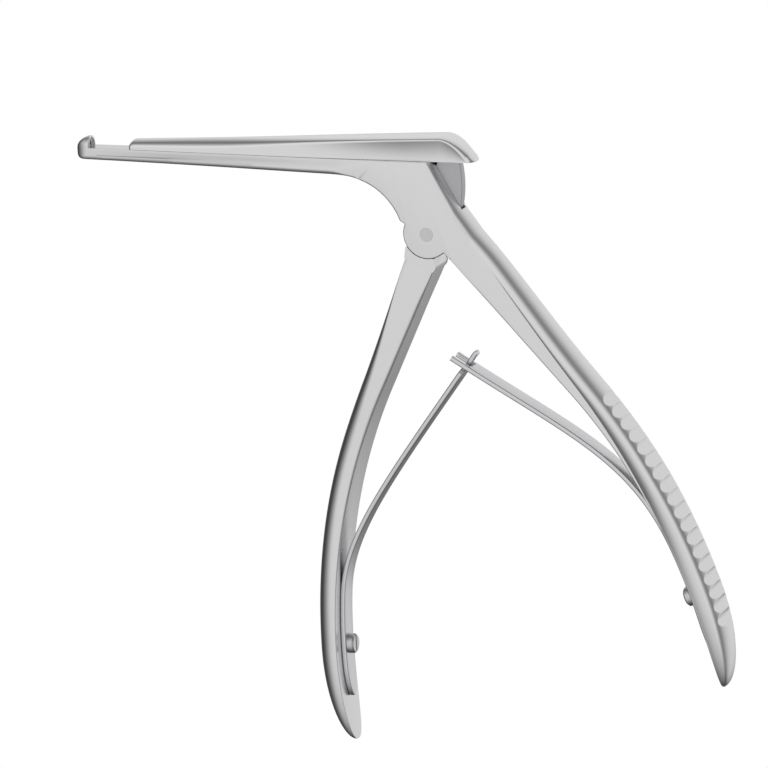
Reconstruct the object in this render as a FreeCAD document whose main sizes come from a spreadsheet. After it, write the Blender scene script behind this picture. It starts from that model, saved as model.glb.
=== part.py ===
import FreeCAD, Part
import math
import os
from FreeCAD import Placement, Rotation, Vector

# Bone punch with a sliding upper shaft, lying on its far side.
# X runs along the slide towards the heel, Y from the handles up to the shafts, Z through the
# thickness. The pivot axis is X = Y = 0 and the far cheek of the body lies at Z = 0.

doc = FreeCAD.newDocument("bone_rongeur")
sheet = doc.addObject("Spreadsheet::Sheet", "sizes")

SIZES = [
    ("body_thick", 8.2, "thickness of the body across both cheeks"),
    ("seam_height", 15.8, "sliding face of the fixed shaft above the pivot"),
    ("run_gap", 0.05, "running gap under the slide and beside its key"),
    ("hinge_gap", 0.08, "side gap between moving faces"),
    ("tip_reach", 82.9, "pivot to the end of the footplate"),
    ("tip_width", 4.3, "width of both shafts at the tip"),
    ("taper_end", -3.0, "where the shafts reach the full body thickness"),
    ("shaft_tip_depth", 2.6, "fixed shaft below its sliding face at the tip"),
    ("shaft_neck_depth", 3.6, "the same at the throat"),
    ("shaft_round", 1.25, "rounding under the fixed shaft"),
    ("throat_radius", 14.75, "hollow between shaft and pivot disc"),
    ("throat_mid", -19.7, "centre of the throat along the slide"),
    ("hook_thick", 3.35, "footplate from its end to its cutting face"),
    ("hook_rise", 2.4, "footplate above the sliding face"),
    ("hook_round", 2.9, "rounded end of the footplate seen from above"),
    ("hook_cup", 0.5, "depth of the cup in the footplate"),
    ("hook_wall", 0.45, "rim of the footplate around its cup"),
    ("jaw_opening", 9.8, "footplate to slide with the handles open"),
    ("jaw_left", 0.1, "the same with the handles closed"),
    ("disc_radius", 5.42, "round cheek about the pivot"),
    ("stop_angle", -45.4, "direction of the shoulder that ends the disc"),
    ("stop_reach", 7.03, "pivot to the outer end of that shoulder"),
    ("heel_edge", 1.15, "rear edge of the body at the sliding face"),
    ("slot_floor_x", 7.3, "rear end of the lever slot, along"),
    ("slot_floor_y", 5.4, "rear end of the lever slot, up"),
    ("lever_thick", 2.5, "thickness of the lever"),
    ("hub_radius", 4.6, "eye of the lever about the pivot"),
    ("pin_height", 17.6, "drive pin above the pivot"),
    ("pin_radius", 0.75, "drive pin"),
    ("pin_play", 0.09, "drive pin to the flanks of its slot"),
    ("head_radius", 1.85, "upper end of the lever"),
    ("pivot_radius", 1.6, "pivot screw shank"),
    ("pivot_play", 0.03, "radial play on the pivot screw"),
    ("pivot_proud", 0.03, "pivot screw ends above the cheeks"),
    ("pivot_head_radius", 2.7, "pivot screw head"),
    ("pivot_head_thick", 1.3, "pivot screw head"),
    ("bow_radius", 130.0, "bow of both handles"),
    ("front_lean", -24.9, "lean of the front handle"),
    ("front_straight", 34.0, "straight part of the front handle"),
    ("front_long", 116.4, "length of the front handle"),
    ("front_root_x", 2.5, "upper inner corner of the front handle, along"),
    ("front_root_y", -5.46, "upper inner corner of the front handle, up"),
    ("front_root_depth", 7.1, "front handle from inner face to spine at its top"),
    ("front_root_side", 0.98, "share of that depth that its straight sides take"),
    ("rear_lean", 43.1, "lean of the rear handle"),
    ("rear_straight", 38.0, "straight part of the rear handle"),
    ("rear_long", 112.6, "length of the rear handle"),
    ("rear_root_depth", 8.1, "rear handle from inner face to spine at its top"),
    ("rear_root_side", 0.84, "share of that depth that its straight sides take"),
    ("shoulder_start", 5.9, "rounded back of the rear handle above its root"),
    ("handle_mid_depth", 5.35, "depth of both handles half way"),
    ("handle_grip_depth", 5.0, "depth of both handles at the grip"),
    ("handle_mid_width", 9.2, "width of both handles half way"),
    ("handle_grip_width", 11.2, "width of both handles at the grip"),
    ("spine_flat", 3.2, "flat along the spine of the handles"),
    ("grip_side", 0.7, "straight side of the handles at the grip"),
    ("end_round", 22.0, "length of the rounded handle ends"),
    ("tooth_pitch", 3.05, "cuts across the spine of the rear handle"),
    ("tooth_depth", 0.6, "depth of those cuts"),
    ("tooth_count", 18, "number of those cuts"),
    ("tooth_start", 44.0, "first cut, along the rear handle"),
    ("slide_front_height", 2.0, "slide above the sliding face at its front"),
    ("slide_heel_height", 5.5, "slide above the sliding face over the lever"),
    ("nose_crown", 0.68, "share of the slide's height that its crown takes at the front"),
    ("heel_crown", 0.1, "the same at the heel"),
    ("crown_start", 11.8, "where the crown begins to get lower, behind the slide's front"),
    ("crown_fade", 29.0, "length over which it does"),
    ("slide_cove", 0.8, "hollow of the slide's flanks at the heel"),
    ("heel_start", 3.0, "where the slide begins to fall to its heel"),
    ("heel_narrow", 1.2, "heel narrower on each side at the end of its rims"),
    ("heel_reach", 10.8, "rear end of the slide"),
    ("heel_tip", 1.6, "rounded end of the heel"),
    ("slide_corner", 1.2, "rounded front corner of the slide"),
    ("key_stem_width", 1.4, "neck of the key under the slide"),
    ("key_head_width", 2.4, "head of the key"),
    ("key_stem_depth", 0.8, "neck of the key"),
    ("key_head_depth", 0.7, "head of the key"),
    ("key_long", 10.0, "length of the key"),
    ("key_setback", 12.0, "key behind the front of the slide"),
    ("leaf_thick", 1.1, "thickness of the leaf springs"),
    ("leaf_width", 5.1, "width of the leaf springs"),
    ("tongue_width", 1.3, "tongue of the front spring"),
    ("fork_slot", 2.5, "slot in the end of the rear spring"),
    ("fork_long", 4.8, "length of that slot"),
    ("apex_x", 7.2, "where the springs cross, along"),
    ("apex_y", -29.45, "where the springs cross, up"),
    ("fork_past", 3.6, "rear spring past the crossing"),
    ("shoulder_back", 0.75, "full width of the front spring ends before the crossing"),
    ("front_pull_foot", 13.0, "how far the front spring keeps its direction where it leaves"),
    ("front_pull_apex", 35.0, "the same before the crossing"),
    ("rear_pull_foot", 22.0, "how far the rear spring keeps its direction where it leaves"),
    ("rear_pull_apex", 32.0, "the same before the crossing"),
    ("seat_gap", 0.04, "springs and their screw heads off the faces they seat on"),
    ("front_leave", 82.0, "where the front spring leaves its handle"),
    ("rear_leave", 80.0, "where the rear spring leaves its handle"),
    ("foot_long", 24.0, "foot of the springs below that point"),
    ("front_screw_along", 94.0, "spring screw along the front handle"),
    ("rear_screw_along", 91.0, "spring screw along the rear handle"),
    ("screw_head_radius", 2.2, "spring screw head"),
    ("screw_head_height", 1.5, "spring screw head"),
    ("screw_radius", 1.1, "spring screw shank"),
    ("screw_long", 3.4, "spring screw in the handle"),
    ("screw_play", 0.1, "spring hole around its screw"),
    ("slot_width", 0.55, "driver slots"),
    ("slot_depth", 0.6, "driver slots"),
]
for row, (alias, value, note) in enumerate(SIZES, start=1):
    sheet.set(f"A{row}", note)
    sheet.set(f"B{row}", str(value))
    sheet.setAlias(f"B{row}", alias)
doc.recompute()


def size(alias):
    return float(sheet.get(alias))


def bind(obj, **cells):
    for prop, formula in cells.items():
        obj.setExpression(prop, formula)


# Places worked out from the sheet

MID = size("body_thick") / 2
SEAM = size("seam_height")
SLIDE_FLOOR = SEAM + size("run_gap")
TIP = -size("tip_reach")
HOOK_FACE = TIP + size("hook_thick")
SLIDE_FRONT = HOOK_FACE + size("jaw_opening")
TRAVEL = size("jaw_opening") - size("jaw_left")
SWING = math.atan(TRAVEL / 2 / size("pin_height"))
PIN_X = TRAVEL / 2
LEVER_GAP = size("lever_thick") + 2 * size("hinge_gap")


def turned(x, y, angle):
    """The point turned about the pivot, anticlockwise seen from the near side."""
    return (x * math.cos(angle) - y * math.sin(angle), x * math.sin(angle) + y * math.cos(angle))


def flat(points, z=0.0):
    return [Vector(x, y, z) for x, y in points]


def plate(edges, low, thick):
    """A closed outline in the XY plane, made a plate between two heights."""
    wire = Part.Wire(Part.__sortEdges__(edges))
    face = Part.Face(wire)
    face.translate(Vector(0, 0, low))
    return face.extrude(Vector(0, 0, thick))


def polygon_plate(points, low, thick):
    vectors = flat(points)
    return plate([Part.LineSegment(a, b).toShape() for a, b in zip(vectors, vectors[1:] + vectors[:1])],
                 low, thick)


def cylinder(radius, low, thick, x=0.0, y=0.0):
    return Part.makeCylinder(radius, thick, Vector(x, y, low), Vector(0, 0, 1))


def smooth(a, b, t):
    """From a to b with level ends while t goes from 0 to 1."""
    t = min(max(t, 0.0), 1.0)
    return a + (b - a) * t * t * (3 - 2 * t)


def shape_of(name, shape):
    """One solid as an object of the document, its Placement given after its Shape."""
    obj = doc.addObject("Part::Feature", name)
    obj.Label = name
    obj.Shape = shape
    obj.Placement = Placement()
    return obj


# Handles: an inner face that runs straight and then along one bow, and D-shaped sections on it

class Handle:
    def __init__(self, root, lean, straight, long, root_depth, root_side, screw_along, side):
        self.root = Vector(root[0], root[1], 0)
        self.lean = math.radians(lean)
        self.straight = straight
        self.long = long
        self.root_depth = root_depth
        self.root_side = root_side
        self.screw_along = screw_along
        self.side = side

    def inner(self, along):
        """Point on the inner face's middle line, with the directions along and outwards."""
        bow = size("bow_radius")
        point = self.root + Vector(math.sin(self.lean), -math.cos(self.lean), 0) * min(along, self.straight)
        angle = self.lean
        if along > self.straight:
            angle = self.lean - self.side * (along - self.straight) / bow
            point = point - self.side * bow * Vector(
                math.cos(self.lean) - math.cos(angle), math.sin(self.lean) - math.sin(angle), 0)
        down = Vector(math.sin(angle), -math.cos(angle), 0)
        out = Vector(math.cos(angle), math.sin(angle), 0) * self.side
        return point + Vector(0, 0, MID), down, out

    def section_sizes(self, along):
        """Width, depth, straight side and spine flat at one place."""
        middle = self.long * 0.45
        grip = self.long - size("end_round")
        depth = smooth(self.root_depth, size("handle_mid_depth"), (along + 4) / (middle - 4))
        depth = smooth(depth, size("handle_grip_depth"), (along - middle) / (grip - middle))
        width = smooth(size("body_thick"), size("handle_mid_width"), along / middle)
        width = smooth(width, size("handle_grip_width"), (along - middle * 0.8) / (grip - middle * 0.8))
        depth -= min(along, 0.0) * 0.122
        head = size("shoulder_start")
        share = smooth(0.97, self.root_side, (along + head) / (2 * head))
        fade = middle * (1.2 if self.side > 0 else 1.0)
        side = depth * share * smooth(1.0, 0.36, along / fade)
        side = smooth(side, size("grip_side"), (along - fade) / (grip - fade))
        spine = smooth(size("body_thick") * 0.8, size("spine_flat"), along / middle)
        if along > grip:
            past = (along - grip) / size("end_round")
            shrink = math.sqrt(max(1 - past ** 2.1, 0.0))
            width *= shrink ** 0.8
            depth *= shrink
            side *= shrink
            spine *= shrink
        return width, depth, side, spine

    def section(self, along):
        """A closed D: flat inner face, short sides, elliptical shoulders and a narrow flat spine."""
        point, down, out = self.inner(along)
        width, depth, side, spine = self.section_sizes(along)
        across = Vector(0, 0, 1)
        half, half_spine = width / 2, spine / 2
        ease = 0.5523

        def at(e, z):
            return point + out * e + across * z

        def shoulder(sign):
            curve = Part.BezierCurve()
            curve.setPoles([
                at(side, sign * half),
                at(side + ease * (depth - side), sign * half),
                at(depth, sign * (half_spine + ease * (half - half_spine) * 0.55)),
                at(depth, sign * half_spine),
            ])
            return curve.toShape()

        def line(a, b):
            return Part.LineSegment(a, b).toShape()

        return Part.Wire([
            line(at(0, -half), at(0, half)),
            line(at(0, half), at(side, half)),
            shoulder(1),
            line(at(depth, half_spine), at(depth, -half_spine)),
            shoulder(-1),
            line(at(side, -half), at(0, -half)),
        ])

    def grip(self, start):
        """The handle below its root, as one smooth loft to its rounded end."""
        bend = self.long - size("end_round")
        stations = [start + (bend - start) * i / 8 for i in range(9)]
        stations += [bend + size("end_round") * math.sin(math.pi / 2 * i / 5) * 0.985 for i in range(1, 6)]
        loft = Part.makeLoft([self.section(s) for s in stations], True, False)
        (top, down, out), (low, _, _) = self.inner(start), self.inner(self.straight * 0.3)
        beyond = [top - down, low, low - out * 3, top - down - out * 3]
        wide = size("handle_grip_width")
        return loft.cut(polygon_plate([xy(corner) for corner in beyond], MID - wide, 2 * wide))

    def frame_at(self, along, lift=0.0):
        """A placement on the inner face: local Z looks away from the handle, local X down it."""
        point, down, out = self.inner(along)
        inwards = out * -1
        turn = Rotation(down, inwards.cross(down), inwards, "ZXY")
        return Placement(point + inwards * lift, turn)


STOP = math.radians(size("stop_angle"))
STOP_IN = (size("disc_radius") * math.cos(STOP), size("disc_radius") * math.sin(STOP))
STOP_OUT = (size("stop_reach") * math.cos(STOP), size("stop_reach") * math.sin(STOP))
FRONT = Handle((size("front_root_x"), size("front_root_y")), size("front_lean"),
               size("front_straight"), size("front_long"), size("front_root_depth"),
               size("front_root_side"), size("front_screw_along"), -1)
REAR = Handle(STOP_OUT, size("rear_lean"), size("rear_straight"), size("rear_long"),
              size("rear_root_depth"), size("rear_root_side"), size("rear_screw_along"), 1)
ROOT_END = 3.0
SHOULDER_GAP = 0.12
EDGE_ROUND = 0.3


def line(a, b):
    return Part.LineSegment(Vector(a[0], a[1], 0), Vector(b[0], b[1], 0)).toShape()


def arc(a, b, c):
    return Part.Arc(Vector(a[0], a[1], 0), Vector(b[0], b[1], 0), Vector(c[0], c[1], 0)).toShape()


def xy(point):
    return (point.x, point.y)


# Fixed half: footplate, lower shaft, slotted body and rear handle, forged in one piece

def frame_outline():
    """The body seen from its side, from the footplate round to the handle's root and back."""
    throat = size("throat_radius")
    neck = shaft_neck()
    centre = (neck[0], neck[1] - throat)
    notch_angle = math.radians(157.0)
    disc = size("disc_radius")
    notch = (disc * math.cos(notch_angle), disc * math.sin(notch_angle))
    throat_end = (notch[0] - 1.15, notch[1] + 0.75)
    throat_turn = math.atan2(throat_end[1] - centre[1], throat_end[0] - centre[0])
    reach = math.hypot(throat_end[0] - centre[0], throat_end[1] - centre[1])
    half_turn = (math.pi / 2 + throat_turn) / 2
    throat_mid = (centre[0] + (throat + reach) / 2 * math.cos(half_turn),
                  centre[1] + (throat + reach) / 2 * math.sin(half_turn))
    low = math.radians(225.0)
    bottom = (disc * math.cos(low), disc * math.sin(low))
    point, down, out = REAR.inner(ROOT_END)
    back = point + out * REAR.section_sizes(ROOT_END)[2]
    return [
        line((neck[0], SEAM), (size("heel_edge"), SEAM)),
        line((size("heel_edge"), SEAM), (size("slot_floor_x"), size("slot_floor_y"))),
        line((size("slot_floor_x"), size("slot_floor_y")), xy(back)),
        line(xy(back), xy(point)),
        line(xy(point), STOP_OUT),
        line(STOP_OUT, STOP_IN),
        arc(STOP_IN, bottom, notch),
        line(notch, throat_end),
        arc(throat_end, throat_mid, neck),
        line(neck, (neck[0], SEAM)),
    ]


def taper_prism(low, high, x_from, x_to):
    """What the shafts keep seen from above: the tip's width, widening evenly to the body's."""
    half_tip = size("tip_width") / 2
    points = [
        (x_from, MID - half_tip),
        (size("taper_end"), 0.0),
        (x_to, 0.0),
        (x_to, size("body_thick")),
        (size("taper_end"), size("body_thick")),
        (x_from, MID + half_tip),
    ]
    wire = Part.makePolygon([Vector(x, low, z) for x, z in points + points[:1]])
    return Part.Face(wire).extrude(Vector(0, high - low, 0))


def shaft_neck():
    return (size("throat_mid"), SEAM - size("shaft_neck_depth"))


def shaft_envelope():
    """Tapering bar with a flat underside and rounded lower edges, from the tip to the throat."""
    end, base = shaft_neck()
    start = TIP - 0.5
    sections = []
    for part, turn in ((0.0, size("shaft_round")), (0.75, size("shaft_round")), (1.0, EDGE_ROUND)):
        x = start + (end - start) * part
        under = SEAM - size("shaft_tip_depth") + (base - SEAM + size("shaft_tip_depth")) * part
        reach = (x - TIP) / (size("taper_end") - TIP)
        half = size("tip_width") / 2 + (MID - size("tip_width") / 2) * reach
        inset = turn * (1 - math.sqrt(0.5))

        def at(y, z):
            return Vector(x, y, MID + z)

        def corner(sign):
            return Part.Arc(at(under + turn, sign * half), at(under + inset, sign * (half - inset)),
                            at(under, sign * (half - turn))).toShape()

        top = SEAM + 4
        sections.append(Part.Wire([
            Part.LineSegment(at(top, -half), at(top, half)).toShape(),
            Part.LineSegment(at(top, half), at(under + turn, half)).toShape(),
            corner(1),
            Part.LineSegment(at(under, half - turn), at(under, turn - half)).toShape(),
            corner(-1),
            Part.LineSegment(at(under + turn, -half), at(top, -half)).toShape(),
        ]))
    return Part.makeLoft(sections, True, True)


def shaft_and_footplate():
    """Shaft with its hooked end: rounded behind, in plan and over its crest, the face cupped."""
    end, base = shaft_neck()
    top = SEAM + size("hook_rise")
    under = SEAM - size("shaft_tip_depth") - 0.5
    profile = [
        line((end, under), (TIP + 1.9, under)),
        arc((TIP + 1.9, under), (TIP + 0.42, under + 0.95), (TIP, SEAM - 0.9)),
        arc((TIP, SEAM - 0.9), (TIP + 0.95, SEAM + 0.95), (HOOK_FACE - 0.5, top)),
        arc((HOOK_FACE - 0.5, top), (HOOK_FACE - 0.1, top - 0.06), (HOOK_FACE, top - 0.25)),
        line((HOOK_FACE, top - 0.25), (HOOK_FACE, SEAM)),
        line((HOOK_FACE, SEAM), (end, SEAM)),
        line((end, SEAM), (end, under)),
    ]
    bar = plate(profile, 0.0, size("body_thick")).common(shaft_envelope())
    half, turn = size("tip_width") / 2, size("hook_round")
    outside = [
        Vector(TIP + turn, 0, MID - half - 0.05),
        Vector(TIP, 0, MID),
        Vector(TIP + turn, 0, MID + half + 0.05),
        Vector(HOOK_FACE + 4, 0, MID + half + 2),
        Vector(HOOK_FACE + 4, 0, MID - half - 2),
    ]
    rounded = [
        Part.Arc(outside[0], outside[1], outside[2]).toShape(),
        Part.LineSegment(outside[2], outside[3]).toShape(),
        Part.LineSegment(outside[3], outside[4]).toShape(),
        Part.LineSegment(outside[4], outside[0]).toShape(),
    ]
    ahead = Part.Face(Part.Wire(rounded)).extrude(Vector(0, 2 * SEAM, 0))
    behind = Part.makeBox(-HOOK_FACE, 2 * SEAM, size("body_thick"), Vector(HOOK_FACE + 3, 0, 0))
    bar = bar.common(ahead.fuse(behind))
    crest_radius = half + 0.05
    crest_low = top - crest_radius
    along = Vector(1, 0, 0)
    crest = Part.makeCylinder(crest_radius, end - TIP + 2, Vector(TIP - 1, crest_low, MID), along)
    below = Part.makeBox(end - TIP + 2, crest_low, size("body_thick"), Vector(TIP - 1, 0, 0))
    bar = bar.common(crest.fuse(below))
    deep, inner = size("hook_cup"), half - size("hook_wall")
    cup = Part.makeCylinder(inner, deep, Vector(HOOK_FACE - deep, crest_low - 0.1, MID), along)
    above = Part.makeBox(4, 4, size("body_thick"), Vector(HOOK_FACE - 2, SEAM, 0))
    return bar.cut(cup.common(above))


def lever_points():
    """Corners of the lever upright over the pivot: front flank, rear flank and head."""
    head = size("head_radius")
    centre = (size("pin_height") + size("pin_height") / math.cos(SWING)) / 2
    return {
        "front_low": (-4.2, 1.87),
        "front_high": (-head, centre - 0.8),
        "head": (0.0, centre + head),
        "head_front": (-head, centre),
        "head_rear": (head, centre),
        "rear_high": (3.6, centre - 1.3),
        "rear_mid": (5.15, centre / 2),
        "rear_low": (4.55, 0.7),
    }


def lever_slot():
    """Slot between the cheeks: the lever's whole sweep, open above, behind and below."""
    p = lever_points()
    room = 0.2
    front_top = turned(p["front_high"][0] - room, p["front_high"][1], SWING)
    front_foot = turned(p["front_low"][0] - room, p["front_low"][1], SWING)
    lift = (SEAM + 0.5 - front_foot[1]) / (front_top[1] - front_foot[1])
    front_seam = (front_foot[0] + (front_top[0] - front_foot[0]) * lift, SEAM + 0.5)
    rear_foot = turned(p["rear_low"][0] + room, p["rear_low"][1], -SWING)
    low, thick = MID - LEVER_GAP / 2, LEVER_GAP
    upper = polygon_plate([
        front_seam,
        front_foot,
        (0.0, 0.0),
        rear_foot,
        (size("slot_floor_x"), size("slot_floor_y")),
        (size("slot_floor_x") + 4, size("slot_floor_y") + 2),
        (size("slot_floor_x") + 4, SEAM + 0.5),
    ], low, thick)
    hub = cylinder(size("hub_radius") + room, low, thick)
    reach = 9.0
    mouth = [(0.0, 0.0)]
    for degrees in (218, 236, 254, 272, 290, 308, 322):
        turn = math.radians(degrees)
        mouth.append((reach * math.cos(turn), reach * math.sin(turn)))
    return upper.fuse(hub).fuse(polygon_plate(mouth, low, thick))


def key_way():
    """T-shaped way in the shaft for the slide's key, with a wide entry behind it."""
    gap = size("run_gap")
    start = SLIDE_FRONT + size("key_setback") - TRAVEL - 0.4
    rear = SLIDE_FRONT + size("key_setback") + size("key_long") + 0.4
    entry = rear + size("key_long") + 1.0
    stem = size("key_stem_width") + 2 * gap
    head = size("key_head_width") + 2 * gap
    stem_deep = size("key_stem_depth") - 2 * gap
    deep = size("key_stem_depth") + size("key_head_depth")
    neck = Part.makeBox(rear - start, stem_deep + 0.5, stem, Vector(start, SEAM - stem_deep, MID - stem / 2))
    tee = Part.makeBox(rear - start, deep - stem_deep, head, Vector(start, SEAM - deep, MID - head / 2))
    open_end = Part.makeBox(entry - rear, deep + 0.5, head, Vector(rear, SEAM - deep, MID - head / 2))
    return neck.fuse([tee, open_end])


def tooth_cuts(handle):
    """Saw-shaped cuts across the spine: each ramps in going down and steps out at its lower end."""
    cuts = []
    pitch, deep = size("tooth_pitch"), size("tooth_depth")
    for number in range(int(size("tooth_count"))):
        start = size("tooth_start") + number * pitch
        corners = []
        for along, sink in ((start, 0.0), (start + pitch * 0.72, deep), (start + pitch, 0.0)):
            point, down, out = handle.inner(along)
            corners.append(point + out * (handle.section_sizes(along)[1] - sink))
        beyond = corners[2] + (corners[2] - corners[1]) * 0.3
        point, down, out = handle.inner(start + pitch / 2)
        corners[2:] = [beyond, beyond + out * 2, corners[0] + out * 2]
        ring = [Vector(c.x, c.y, 0) for c in corners]
        face = Part.Face(Part.makePolygon(ring + ring[:1]))
        face.translate(Vector(0, 0, MID - size("handle_grip_width")))
        cuts.append(face.extrude(Vector(0, 0, 2 * size("handle_grip_width"))))
    return cuts


def screw_hole(handle):
    """Blind hole for a spring screw, square to the handle's inner face."""
    place = handle.frame_at(handle.screw_along)
    hole = Part.makeCylinder(size("screw_radius"), size("screw_long") + 0.3, Vector(0, 0, -size("screw_long") - 0.3))
    hole.Placement = place
    return hole


def make_frame():
    body = plate(frame_outline(), 0.0, size("body_thick"))
    body = body.common(taper_prism(-2 * SEAM, 2 * SEAM, TIP, 2 * SEAM))
    solid = body.fuse([shaft_and_footplate(), REAR.grip(-size("shoulder_start"))])
    solid = solid.cut([lever_slot(), key_way(), screw_hole(REAR)])
    solid = solid.cut([
        cylinder(size("pivot_radius"), -1, size("body_thick") + 2),
        cylinder(size("pivot_head_radius"), -1, 1 + size("pivot_head_thick")),
    ])
    solid = solid.cut(tooth_cuts(REAR))
    return shape_of("frame", solid.removeSplitter())


# Front handle: its lever passes between the cheeks and works the slide

def make_front_handle():
    p = lever_points()
    low = MID - size("lever_thick") / 2
    thick = size("lever_thick")

    def lean(point):
        return turned(point[0], point[1], -SWING)

    head_mid = 0.7071 * size("head_radius")
    centre = p["head_rear"][1]
    arm = plate([
        line(lean((0, 0)), lean(p["front_low"])),
        line(lean(p["front_low"]), lean(p["front_high"])),
        line(lean(p["front_high"]), lean(p["head_front"])),
        arc(lean(p["head_front"]), lean(p["head"]), lean((head_mid, centre + head_mid))),
        line(lean((head_mid, centre + head_mid)), lean(p["rear_high"])),
        arc(lean(p["rear_high"]), lean(p["rear_mid"]), lean(p["rear_low"])),
        line(lean(p["rear_low"]), lean((0, 0))),
    ], low, thick)
    eye = cylinder(size("hub_radius"), low, thick)
    point, down, out = FRONT.inner(5.0)
    width, depth, side, flat_back = FRONT.section_sizes(5.0)
    inner_edge, outer_edge = xy(point), xy(point + out * depth)
    corner = FRONT.inner(0.0)[0]
    clear = size("disc_radius") + SHOULDER_GAP
    outer_angle = math.radians(211.3)
    outer_corner = (clear * math.cos(outer_angle), clear * math.sin(outer_angle))
    block = polygon_plate([
        xy(corner), inner_edge, outer_edge, outer_corner, (0.0, 0.0)], 0.0, size("body_thick"))
    block = block.cut(cylinder(clear, -1, size("body_thick") + 2))
    axis = Vector(outer_corner[0] + corner.x, outer_corner[1] + corner.y, 0) * 0.5
    axis.normalize()
    across = Vector(-axis.y, axis.x, 0) * 2.6
    root = axis * 8.2
    tongue = polygon_plate([xy(across), xy(root + across), xy(root - across), xy(across * -1)], low, thick)
    solid = block.fuse([FRONT.grip(5.0), arm, eye, tongue])
    stop_in, stop_out = turned(*STOP_IN, -2 * SWING), turned(*STOP_OUT, -2 * SWING)
    along = Vector(stop_out[0] - stop_in[0], stop_out[1] - stop_in[1], 0).normalize()
    back = Vector(along.y, -along.x, 0)
    first = Vector(stop_in[0], stop_in[1], 0) + back * 0.15 - along * 2
    second = Vector(stop_out[0], stop_out[1], 0) + back * 0.15 + along * 0.3
    relief = polygon_plate([
        xy(first), xy(second), (second.x + 4, second.y - 0.4), (first.x + 4, first.y)],
        -2, size("body_thick") + 4)
    solid = solid.cut(relief)
    near_pin, far_pin = size("pin_height"), size("pin_height") / math.cos(SWING)
    half = size("pin_radius") + size("pin_play")
    slot_low = near_pin - size("pin_play")
    slot_high = far_pin + size("pin_play")
    slot = plate([
        line(lean((-half, slot_low)), lean((-half, slot_high))),
        arc(lean((-half, slot_high)), lean((0, slot_high + half - size("pin_play"))), lean((half, slot_high))),
        line(lean((half, slot_high)), lean((half, slot_low))),
        arc(lean((half, slot_low)), lean((0, slot_low - half + size("pin_play"))), lean((-half, slot_low))),
    ], low - 1, thick + 2)
    bore = cylinder(size("pivot_radius") + size("pivot_play"), low - 1, thick + 2)
    solid = solid.cut([slot, bore, screw_hole(FRONT)])
    return shape_of("front_handle", solid.removeSplitter())


# Slide: the moving upper shaft, with hollow flanks, a crowned top and a heel over the lever

def slide_heights(x):
    """Height of the crown and of the rim above the slide's floor, at one place along it."""
    run = (x - SLIDE_FRONT) / (size("heel_start") - SLIDE_FRONT)
    top = size("slide_front_height") + (size("slide_heel_height") - size("slide_front_height")) * run
    past = max(x - SLIDE_FRONT - size("crown_start"), 0.0) / size("crown_fade")
    share = size("heel_crown") + (size("nose_crown") - size("heel_crown")) * math.exp(-past ** 2)
    return top, top * (1 - share)


def slide_section(x, top, rim, half, cove):
    """Flat floor, hollow flanks up to the rims and a crowned top."""
    floor = SLIDE_FLOOR
    low_far, low_near = Vector(x, floor, MID - half), Vector(x, floor, MID + half)
    rim_far, rim_near = Vector(x, floor + rim, MID - half), Vector(x, floor + rim, MID + half)
    half_rim = floor + rim * 0.55
    return Part.Wire([
        Part.LineSegment(low_far, low_near).toShape(),
        Part.Arc(low_near, Vector(x, half_rim, MID + half - cove), rim_near).toShape(),
        Part.Arc(rim_near, Vector(x, floor + top, MID), rim_far).toShape(),
        Part.Arc(rim_far, Vector(x, half_rim, MID - half + cove), low_far).toShape(),
    ])


def slide_bar():
    """The slide as it comes off the mill, before its pocket, pin hole and key."""
    straight = []
    half_tip, half_body = size("tip_width") / 2, MID
    start = size("heel_start")
    for part in range(9):
        x = SLIDE_FRONT + (start - SLIDE_FRONT) * part / 8
        top, rim = slide_heights(x)
        reach = (x - TIP) / (size("taper_end") - TIP)
        half = half_tip + (half_body - half_tip) * min(reach, 1.0)
        hollow = smooth(0.02, size("slide_cove"), (part - 4) / 4)
        straight.append(slide_section(x, top, rim, half, hollow))
    bar = Part.makeLoft(straight, True, True)
    heel = []
    long = size("heel_reach") - start
    rim_long = long - size("heel_tip")
    for part in (0.0, 0.18, 0.35, 0.5, 0.63, 0.74, 0.83, 0.91, 0.97):
        run = long * part
        top = size("slide_heel_height") * (1 - part ** 2)
        rim_fall = min(run / rim_long, 1.0)
        rim = max(size("slide_heel_height") * (1 - size("heel_crown")) * (1 - rim_fall ** 2), 0.12)
        half = half_body - size("heel_narrow") * rim_fall ** 1.5
        half *= math.sqrt(1 - (max(run - rim_long, 0.0) / size("heel_tip")) ** 2)
        hollow = size("slide_cove") * (1 - rim_fall) ** 2 + 0.01
        heel.append(slide_section(start + run, top, min(rim, top * 0.8), half, hollow))
    return bar.fuse(Part.makeLoft(heel, True, True))


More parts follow.
